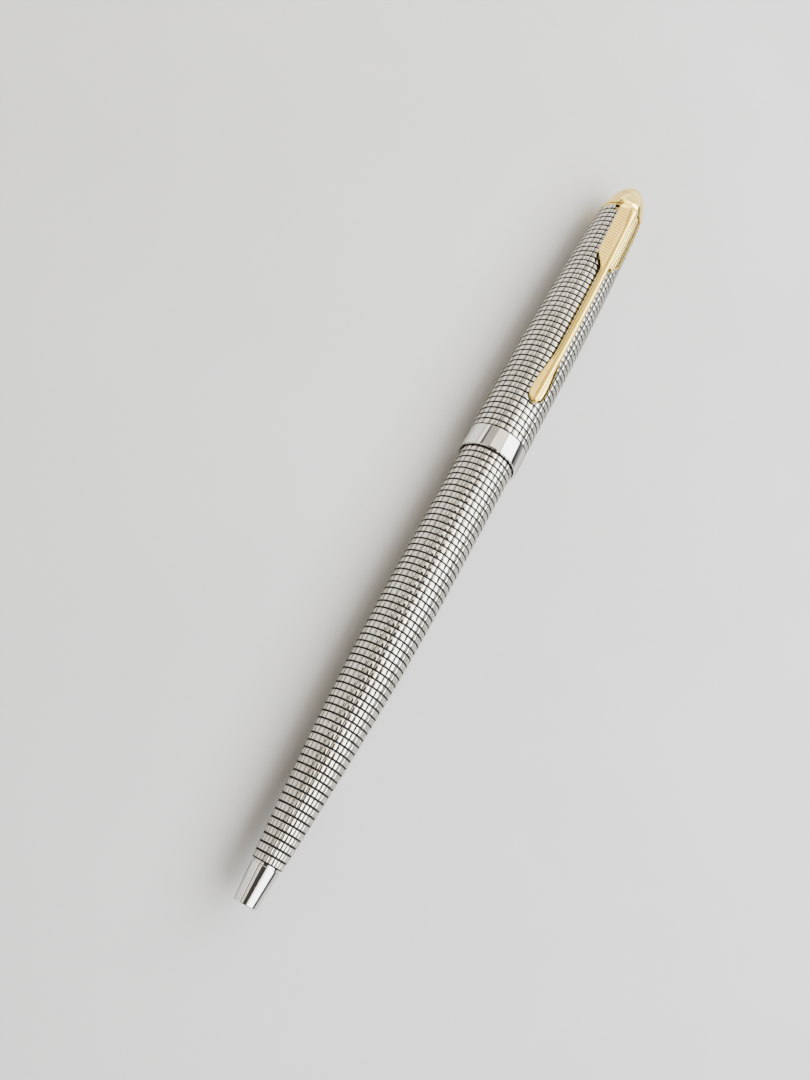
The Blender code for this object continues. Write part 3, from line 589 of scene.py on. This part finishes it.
def engraved_shell(name, start, rows, radius_at, lining, material, body, node):
    """A tube whose outside is cut into a grid of cells, from its start for a number of rows.

    lining is the rest of the closed outline, from the outside's end back to its start.
    """
    rings = []
    for row in range(rows):
        for share, depth in cell_samples(RING_GROOVE / ROW):
            rings.append((start + (row + share) * ROW, depth, share))
    rings.append((start + rows * ROW, 1.0, 0.0))
    points = []
    across = cell_samples(LONG_GROOVE)
    samples = len(across)
    sides = COLUMNS * samples
    for distance, ring_depth, share in rings:
        radius = radius_at(distance)
        for column in range(COLUMNS):
            for place, long_depth in across:
                turn = (column + place + 0.5) * COLUMN_ANGLE
                crown = CELL_CROWN * (1 - (2 * share - 1) ** 2 * (2 * place - 1) ** 2)
                height = radius - GROOVE_DEPTH * max(ring_depth, long_depth) - (CELL_CROWN - crown)
                points.append((NOSE_X + distance, height * sin(turn), AXIS_Z + height * cos(turn)))
    for distance, radius in lining:
        for i in range(sides):
            turn = (i / samples + 0.5) * COLUMN_ANGLE
            points.append((NOSE_X + distance, radius * sin(turn), AXIS_Z + radius * cos(turn)))
    faces = bridged(len(rings) + len(lining), sides, loop=True)
    return mesh_piece(name, points, faces, material, body, "silver", node)


def make_barrel():
    plain_start = BARREL_START + BARREL_ROWS * ROW
    plain_radius = barrel_radius(plain_start)
    thread_end = ends("nose_cone")[1] + NOSE_THREAD_ROOM
    lining = [
        (plain_start + PLAIN_CHAMFER, plain_radius - GROOVE_DEPTH),
        (plain_start + 2 * PLAIN_CHAMFER, plain_radius - PLAIN_DROP),
        (BARREL_END - BARREL_END_CHAMFER, BARREL_END_RADIUS - PLAIN_DROP),
        (BARREL_END, BARREL_END_RADIUS - BARREL_END_CHAMFER),
        *[(d, barrel_radius(d) - BARREL_WALL) for d in spread(BARREL_END, thread_end, 14)],
        (thread_end, NOSE_THREAD_RADIUS),
        (BARREL_START, NOSE_THREAD_RADIUS),
        (BARREL_START, barrel_radius(BARREL_START) - GROOVE_DEPTH - START_DROP),
    ]
    engraved_shell(
        "engraved_barrel", BARREL_START, BARREL_ROWS, barrel_radius, lining,
        BARREL_SILVER, "barrel", "barrel_shell",
    )


def make_cap():
    end = CAP_START + CAP_ROWS * ROW
    lining = [
        *[(d, cap_radius(d) - CAP_WALL) for d in spread(end, CAP_STRAIGHT_END, 12)],
        (REBATE_START, CAP_RADIUS - CAP_WALL),
        (REBATE_START, REBATE_RADIUS),
        (CAP_START, REBATE_RADIUS),
    ]
    shell = engraved_shell(
        "engraved_cap", CAP_START, CAP_ROWS, cap_radius, lining,
        CAP_SILVER, "cap", "cap_shell",
    )
    notch(shell)


def notch(shell):
    """Cuts the clip's notch into the cap's end."""
    end, side = NOSE_X + CAP_END, CLIP_NOTCH_WIDTH / 2
    low = Vector((end - CLIP_NOTCH_LENGTH, -side, AXIS_Z + CAP_END_RADIUS / 3))
    high = Vector((end + CLIP_NOTCH_LENGTH, side, AXIS_Z + 2 * CAP_END_RADIUS))
    box = bmesh.new()
    bmesh.ops.create_cube(box, size=1.0)
    bmesh.ops.scale(box, vec=high - low, verts=box.verts)
    bmesh.ops.translate(box, vec=(low + high) / 2, verts=box.verts)
    mesh = bpy.data.meshes.new("notch_cutter")
    box.to_mesh(mesh)
    box.free()
    cutter = bpy.data.objects.new("notch_cutter", mesh)
    bpy.context.collection.objects.link(cutter)
    modifier = shell.modifiers.new("notch", "BOOLEAN")
    modifier.operation = "DIFFERENCE"
    modifier.solver = "EXACT"
    modifier.object = cutter
    apply_modifiers(shell)
    bpy.data.objects.remove(cutter)


def apply_modifiers(piece):
    """Puts the result of a piece's modifiers into its mesh."""
    bpy.context.view_layer.update()
    evaluated = piece.evaluated_get(bpy.context.evaluated_depsgraph_get())
    mesh = bpy.data.meshes.new_from_object(evaluated)
    piece.modifiers.clear()
    piece.data = mesh


# ---------------------------------------------------------------- polished turned pieces


def make_nose_cone():
    start, end = ends("nose_cone")
    shoulder = start + NOSE_LENGTH
    outline = [
        (start + TIP_BORE_END, TIP_BORE, 0.2 * MM),
        (start, TIP_BORE, 0.12 * MM),
        (start, NOSE_TIP_RADIUS, 0.42 * MM),
        (shoulder, NOSE_TOP_RADIUS, 0.14 * MM),
        (shoulder, SPIGOT_RADIUS, 0.02 * MM),
        (end, SPIGOT_RADIUS, 0.05 * MM),
        (end, SPIGOT_BORE, 0.0),
        (start + SPIGOT_BORE_START, SPIGOT_BORE, 0.1 * MM),
    ]
    sharpen(revolve("nose_cone_polished", outline, SILVER, "barrel", "polished_silver", "nose_cone"))


def make_band():
    lip_end, rebate = BAND_START + BAND_LIP_LENGTH, REBATE_RADIUS + BAND_FIT
    outline = [
        (BAND_START, BAND_BORE, 0.03 * MM),
        (BAND_START, BAND_RADIUS, 0.26 * MM),
        (BAND_END, BAND_RADIUS, 0.14 * MM),
        (BAND_END, rebate, 0.0),
        (lip_end, rebate, 0.0),
        (lip_end, BAND_BORE, 0.0),
    ]
    sharpen(revolve("cap_band_polished", outline, SILVER, "cap", "polished_silver", "cap_band"))


def finial_radius(distance):
    """A bullet shape that ends in a small flat."""
    share = (distance - FINIAL_START) / (PEN_LENGTH - FINIAL_START)
    bulge = max(1 - share**FINIAL_POWER, 0.0) ** FINIAL_ROUNDNESS
    return FINIAL_FLAT_RADIUS + (FINIAL_RADIUS - FINIAL_FLAT_RADIUS) * bulge


def make_finial_collar():
    corner = 0.10 * MM
    places = spread(FINIAL_START + 1.5 * corner, FINIAL_SPLIT - corner, 16)
    outline = [
        (FINIAL_START, COLLAR_BORE, 0.0),
        (FINIAL_START, finial_radius(FINIAL_START), corner),
        *[(d, finial_radius(d), 0.0) for d in places],
        (FINIAL_SPLIT, finial_radius(FINIAL_SPLIT), corner),
        (FINIAL_SPLIT, COLLAR_BORE, 0.0),
    ]
    sharpen(revolve("finial_collar", outline, GOLD, "cap", "gold", "finial_ring"))


def make_finial_dome():
    """The domed end, whose spigot runs down through the collar."""
    start = FINIAL_SPLIT + FINIAL_SEAM
    curve_start = start + 0.1 * MM
    top, blind_end = PEN_LENGTH - FINIAL_TOP_DROP, PEN_LENGTH - SCREW_BORE_DEPTH
    steps = 28
    places = [curve_start + (PEN_LENGTH - curve_start) * sin(pi / 2 * i / steps) for i in range(steps)]
    outline = [
        (top, 0.0, 0.0),
        (top, FINIAL_FLAT_RADIUS, 0.25 * MM),
        *[(d, finial_radius(d), 0.0) for d in reversed(places)],
        (start, finial_radius(start), 0.08 * MM),
        (start, FINIAL_BORE, 0.0),
        (FINIAL_START, FINIAL_BORE, 0.0),
        (FINIAL_START, SCREW_BORE, 0.0),
        (blind_end, SCREW_BORE, 0.0),
        (blind_end, 0.0, 0.0),
    ]
    sharpen(revolve("finial_dome_polished", outline, GOLD, "cap", "gold", "finial_dome", closed=False))


def make_clip_washer():
    start, end = ends("clip_ring")
    outline = [
        (start, SCREW_BORE, 0.0),
        (start, outer_radius("clip_ring"), 0.08 * MM),
        (end, outer_radius("clip_ring"), 0.08 * MM),
        (end, SCREW_BORE, 0.0),
    ]
    sharpen(revolve("clip_washer", outline, GOLD, "cap", "gold", "clip_ring"))


# ---------------------------------------------------------------- clip


def clip_half_width(reach):
    """Half width at a distance along the clip from its root.

    A wide plate with round corners narrows to a slim shaft, which ends in a rounded paddle.
    """
    plate, shaft, paddle = CLIP_PLATE_WIDTH / 2, CLIP_SHAFT_WIDTH / 2, CLIP_PADDLE_WIDTH / 2
    if reach < CLIP_CORNER:
        share = 1 - reach / CLIP_CORNER
        return plate - CLIP_CORNER * (1 - sqrt(1 - share * share))
    if reach < CLIP_PLATE_STRAIGHT:
        return plate
    if reach < CLIP_PLATE_TAPER:
        share = (reach - CLIP_PLATE_STRAIGHT) / (CLIP_PLATE_TAPER - CLIP_PLATE_STRAIGHT)
        return plate + (shaft - plate) * smooth_step(share)
    if reach < CLIP_PADDLE_WIDEST:
        share = (reach - CLIP_PADDLE_START) / (CLIP_PADDLE_WIDEST - CLIP_PADDLE_START)
        return shaft + (paddle - shaft) * smooth_step(share)
    share = (reach - CLIP_PADDLE_WIDEST) / (CLIP_LENGTH - CLIP_PADDLE_WIDEST)
    return paddle * sqrt(max(1 - share**CLIP_TIP_POWER, 0.0))


def clip_under_height(reach):
    """Height of the clip's middle underside over the axis."""
    bow = max(sin(pi * reach / CLIP_LENGTH), 0.0) ** CLIP_BOW_POWER
    return cap_radius(CLIP_ROOT - reach) + CLIP_ROOT_GAP + CLIP_STAND_OFF * bow


def ridge_half_width(reach, half):
    """Half width of the ridge, which is widest at the root."""
    flare = 1 - smooth_step(reach / CLIP_RIDGE_FLARE)
    full = (CLIP_RIDGE_WIDTH + (CLIP_RIDGE_ROOT_WIDTH - CLIP_RIDGE_WIDTH) * flare) / 2
    return min(full, half * RIDGE_SHARE)


def reeds(side, half, foot, reach):
    """Depth of the straight cross grooves on the plate's wings."""
    room = half - foot
    if room < REED_ROOM or not REED_START < reach < REED_END:
        return 0.0
    across = (abs(side) - foot) / room
    fade = smooth_step(across / REED_FOOT_FADE) * smooth_step((1 - across) / REED_RIM_FADE)
    fade *= smooth_step((reach - REED_START) / REED_START_FADE)
    fade *= smooth_step((REED_END - reach) / REED_END_FADE)
    fade *= smooth_step((room - REED_ROOM) / REED_ROOM_FADE)
    wave = (0.5 - 0.5 * cos(2 * pi * reach / REED_PITCH)) ** 2
    return REED_DEPTH * wave * fade


def clip_section(reach):
    """Closed outline across the clip: thin wings with round edges and a rounded ridge in the middle."""
    half = max(clip_half_width(reach), CLIP_MIN_HALF_WIDTH)
    under = clip_under_height(reach)
    ridge_half = ridge_half_width(reach, half)
    root = sqrt(1 - (1 - min(reach / CLIP_ROOT_ROUNDING, 1.0)) ** 2)
    ridge = CLIP_RIDGE_HEIGHT * min(half / CLIP_SLIM_HALF_WIDTH, 1.0)
    ridge *= RIDGE_ROOT_SHARE + (1 - RIDGE_ROOT_SHARE) * root
    edge = min(CLIP_RIM_THICKNESS / 2, half * RIM_SHARE)
    wing_end = half - edge
    right = []
    # the ridge's round top, from the middle outwards
    for angle in spread(0.0, pi / 2, RIDGE_STEPS):
        rise = ridge * max(cos(angle), 0.0) ** RIDGE_TOP_POWER
        right.append((ridge_half * sin(angle) ** RIDGE_SIDE_POWER, CLIP_EDGE_THICKNESS + rise))
    foot = min(ridge_half * RIDGE_FOOT, wing_end * 0.9)
    wing_top = CLIP_EDGE_THICKNESS - WING_DROP
    right.append((foot, wing_top))
    # the wing, which thins outwards, then its round edge
    for i in range(1, WING_STEPS + 1):
        side = foot + (wing_end - foot) * i / WING_STEPS
        thin = (CLIP_EDGE_THICKNESS - CLIP_RIM_THICKNESS) * i / WING_STEPS
        right.append((side, wing_top - thin - reeds(side, half, foot, reach)))
    middle = CLIP_RIM_THICKNESS / 2
    for angle in spread(pi / 2, -pi / 2, RIM_STEPS)[1:-1]:
        right.append((wing_end + edge * cos(angle), middle + middle * sin(angle)))
    right += [(wing_end * share, 0.0) for share in UNDERSIDE_SHARES]
    outline = right + [(0.0, 0.0)] + [(-y, z) for y, z in reversed(right[1:])]
    return [(y, under + z - CLIP_DROOP * y * y) for y, z in outline]


def clip_stations():
    """Distances along the clip, closer together round its two ends."""
    tip_start = CLIP_LENGTH - CLIP_TIP_ROUNDING
    count = int((tip_start - CLIP_CORNER) * STATIONS_PER_REED / REED_PITCH)
    root_places = [CLIP_CORNER * (1 - cos(angle)) for angle in spread(0.0, pi / 2, 12)]
    even_places = spread(CLIP_CORNER, tip_start, count)
    tip_places = [CLIP_LENGTH - CLIP_TIP_ROUNDING * (1 - sin(angle)) for angle in spread(0.0, pi / 2, 20)]
    return root_places[:-1] + even_places[:-1] + tip_places


def make_clip():
    points = []
    stations = clip_stations()
    for reach in stations:
        section = clip_section(reach)
        points += [(NOSE_X + CLIP_ROOT - reach, y, AXIS_Z + z) for y, z in section]
    faces = capped(len(stations), len(section))
    sharpen(mesh_piece("clip_polished", points, faces, CLIP_GOLD, "clip", "gold", "clip"), 50)


def make_clip_tab():
    """The tongue under the clip's root that reaches down to the washer's rim."""
    start, end = CLIP_ROOT - TAB_LENGTH, CLIP_ROOT - TAB_END
    rim = outer_radius("clip_ring") + TAB_GAP
    points = []
    stations = (
        (start, TAB_CHAMFER),
        (start + TAB_CHAMFER, 0.0),
        (end - TAB_CHAMFER, 0.0),
        (end, TAB_CHAMFER),
    )
    for distance, inset in stations:
        half = TAB_HALF_WIDTH - inset
        sides = spread(-half, half, TAB_STEPS)
        under = clip_under_height(CLIP_ROOT - distance)
        section = [(y, under + CLIP_RIM_THICKNESS / 2 - CLIP_DROOP * y * y) for y in sides]
        section += [(y, sqrt((rim + inset) ** 2 - y * y)) for y in reversed(sides)]
        points += [(NOSE_X + distance, y, AXIS_Z + z) for y, z in section]
    faces = capped(len(stations), len(section))
    sharpen(mesh_piece("clip_tab", points, faces, GOLD, "clip", "gold"), 40)


# ---------------------------------------------------------------- inner pieces


def ball_size():
    """(distance of the ball's centre, its radius)."""
    ball_low, ball_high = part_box("ball")
    centre = (ball_low + ball_high) / 2
    return place_of(centre.x), (ball_high.z - ball_low.z) / 2


def make_point():
    """The tapered steel point, with the ball's socket at its tip."""
    mouth, end = ends("point_holder")
    place, ball_radius = ball_size()
    socket = ball_radius + SOCKET_GAP
    arc = spread(asin(INK_CHANNEL / socket), acos((mouth - place) / socket), SOCKET_STEPS)
    outline = [
        (mouth, LIP_RADIUS, 0.05 * MM),
        (mouth + TIP_LENGTH, TIP_RADIUS, 0.1 * MM),
        (mouth + POINT_CONE_LENGTH, POINT_RADIUS, 0.2 * MM),
        (end, POINT_RADIUS, 0.05 * MM),
        (end, INK_CHANNEL, 0.0),
        *[(place + socket * cos(angle), socket * sin(angle), 0.0) for angle in arc],
    ]
    sharpen(revolve("writing_point", outline, STEEL, "refill", "steel", "point_holder", sides=72))


def make_ball():
    place, radius = ball_size()
    arc = spread(0.0, pi, BALL_STEPS)[1:-1]
    outline = [
        (place - radius, 0.0, 0.0),
        *[(place - radius * cos(angle), radius * sin(angle), 0.0) for angle in arc],
        (place + radius, 0.0, 0.0),
    ]
    revolve("writing_ball", outline, CARBIDE, "ball", "tungsten", "ball", sides=48, closed=False)


def make_spring():
    """The same helix as the CAD node, with a rounder wire."""
    start, end = ends("return_spring")
    total = SPRING_TURNS * SPRING_STEPS
    points = []
    for i, distance in enumerate(spread(start + SPRING_WIRE, end - SPRING_WIRE, total)):
        turn = 2 * pi * i / SPRING_STEPS
        centre = Vector((NOSE_X + distance, 0.0, AXIS_Z))
        out = Vector((0.0, cos(turn), sin(turn)))
        for j in range(WIRE_SIDES):
            angle = 2 * pi * j / WIRE_SIDES
            sideways = Vector((SPRING_WIRE * sin(angle), 0.0, 0.0))
            points.append(centre + out * (SPRING_RADIUS + SPRING_WIRE * cos(angle)) + sideways)
    faces = capped(total + 1, WIRE_SIDES)
    spring = mesh_piece(
        "return_spring_wire", points, faces, SPRING, "barrel", "spring_steel", "return_spring",
    )
    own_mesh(spring)


def finish_inner_nodes():
    """Gives the CAD nodes that stay their materials."""
    finishes = {
        "brass": BRASS, "steel": STEEL, "spring_steel": SPRING, "black_plastic": BLACK,
        "white_plastic": WHITE, "rubber": RUBBER, "gold": GOLD, "polished_silver": SILVER,
    }
    for part in frame["record"]["subparts"]:
        node = frame["nodes"][part["node"]]
        if node.hide_render or part["material_slot"] not in finishes:
            continue
        node.data.materials.clear()
        node.data.materials.append(finishes[part["material_slot"]])


# ---------------------------------------------------------------- room


def make_floor():
    """A pale disc that the pen's band lies on."""
    n = Nodes("pale_floor")
    soft = n.noise(0.02, 3.0)
    base = n.mix(n.ramp(soft, 0.3, 0.7), (0.66, 0.65, 0.635), (0.63, 0.62, 0.605))
    material = n.finish(base_color=base, roughness=0.75, normal=n.bump(n.noise(0.8, 3.0), 0.02))
    mesh = bpy.data.meshes.new("floor")
    level = AXIS_Z - BAND_RADIUS
    turns = spread(0.0, 2 * pi, FLOOR_SIDES)[:-1]
    corners = [(FLOOR_RADIUS * cos(turn), FLOOR_RADIUS * sin(turn), level) for turn in turns]
    mesh.from_pydata(corners, [], [tuple(range(FLOOR_SIDES))])
    mesh.materials.append(material)
    floor = bpy.data.objects.new("floor", mesh)
    bpy.context.collection.objects.link(floor)


def soft_box(name, low_angle, high_angle, start, end, radiance, tint):
    """A flat light along the pen, facing its axis.

    It covers a range of angles round that axis, in degrees from straight up towards +Y, and runs from
    start to end along X.
    """
    middle = radians((low_angle + high_angle) / 2)
    width = 2 * TENT_RADIUS * tan(radians(high_angle - low_angle) / 2)
    place = Vector(((start + end) / 2, TENT_RADIUS * sin(middle), AXIS_Z + TENT_RADIUS * cos(middle)))
    data = bpy.data.lights.new(name, "AREA")
    data.shape = "RECTANGLE"
    data.size, data.size_y = end - start, width
    data.energy = radiance * pi * (end - start) * width
    data.color = tint
    light = bpy.data.objects.new(name, data)
    bpy.context.collection.objects.link(light)
    back = Vector((0.0, sin(middle), cos(middle)))
    along = Vector((1.0, 0.0, 0.0))
    facing = Matrix((along, back.cross(along), back)).transposed()
    light.matrix_world = Matrix.Translation(place) @ facing.to_4x4()


def end_panel(radiance):
    """A soft box upright behind the finial, facing the pen."""
    data = bpy.data.lights.new("end_panel", "AREA")
    data.shape = "RECTANGLE"
    data.size, data.size_y = PANEL_WIDTH, PANEL_HEIGHT
    data.energy = radiance * pi * PANEL_WIDTH * PANEL_HEIGHT
    light = bpy.data.objects.new("end_panel", data)
    bpy.context.collection.objects.link(light)
    light.location = (PANEL_PLACE, 0.0, PANEL_HEIGHT / 2)
    light.rotation_euler = Vector((-1.0, 0.0, 0.0)).to_track_quat("-Z", "Y").to_euler()


def make_lights():
    """Soft boxes round the pen, with narrow dark gaps between them that show as lines in polished metal."""
    warm, cool = (1.0, 0.93, 0.82), (0.93, 0.97, 1.0)
    soft_box("window", -58, -4, -0.30, 0.80, 4.2, cool)
    soft_box("ceiling_far", -2, 38, 0.07, 0.80, 1.5, warm)
    soft_box("ceiling_near", -2, 8, -0.30, 0.06, 2.4, warm)
    soft_box("wall_far", 38, 67, 0.07, 0.80, 0.55, warm)
    soft_box("wall_near", 45, 67, -0.30, 0.06, 1.0, warm)
    soft_box("wall_low", 76, 87, -0.30, 0.80, 1.2, warm)
    end_panel(1.2)


def make_world():
    """A dim room that is pale round the horizon, so polished metal has something to reflect there."""
    world = bpy.data.worlds.new("studio")
    bpy.context.scene.world = world
    world.use_nodes = True
    nodes, links = world.node_tree.nodes, world.node_tree.links
    split = nodes.new("ShaderNodeSeparateXYZ")
    links.new(nodes.new("ShaderNodeTexCoord").outputs["Generated"], split.inputs[0])
    fade = nodes.new("ShaderNodeMapRange")
    fade.interpolation_type = "SMOOTHSTEP"
    links.new(split.outputs[2], fade.inputs["Value"])
    for socket, value in zip(("From Min", "From Max", "To Min", "To Max"), WORLD_FADE):
        fade.inputs[socket].default_value = value
    background = nodes["Background"]
    background.inputs["Color"].default_value = (0.93, 0.93, 0.92, 1.0)
    links.new(fade.outputs["Result"], background.inputs["Strength"])


def make_camera():
    """The camera, turned about its own line of sight, and the contrast of its picture."""
    heading, down = radians(CAMERA_HEADING), radians(CAMERA_DOWN)
    forward = Vector((cos(down) * cos(heading), cos(down) * sin(heading), -sin(down)))
    data = bpy.data.cameras.new("camera")
    data.lens = CAMERA_LENS
    data.sensor_width = 36.0
    data.clip_start = 0.005
    camera = bpy.data.objects.new("camera", data)
    bpy.context.collection.objects.link(camera)
    upright = (Vector((0, 0, 1)) - forward * forward.z).normalized()
    up = Matrix.Rotation(radians(CAMERA_ROLL), 3, forward) @ upright
    right = forward.cross(up)
    turned = Matrix((right, up, -forward)).transposed()
    camera.matrix_world = Matrix.Translation(CAMERA_AIM - forward * CAMERA_DISTANCE) @ turned.to_4x4()
    bpy.context.scene.camera = camera
    bpy.context.scene.view_settings.look = "AgX - Medium High Contrast"


make_camera()
make_world()
make_floor()
make_lights()

make_nose_cone()
make_barrel()
make_band()
make_cap()
make_finial_collar()
make_finial_dome()
make_clip_washer()
make_clip()
make_clip_tab()
make_point()
make_ball()
make_spring()
finish_inner_nodes()
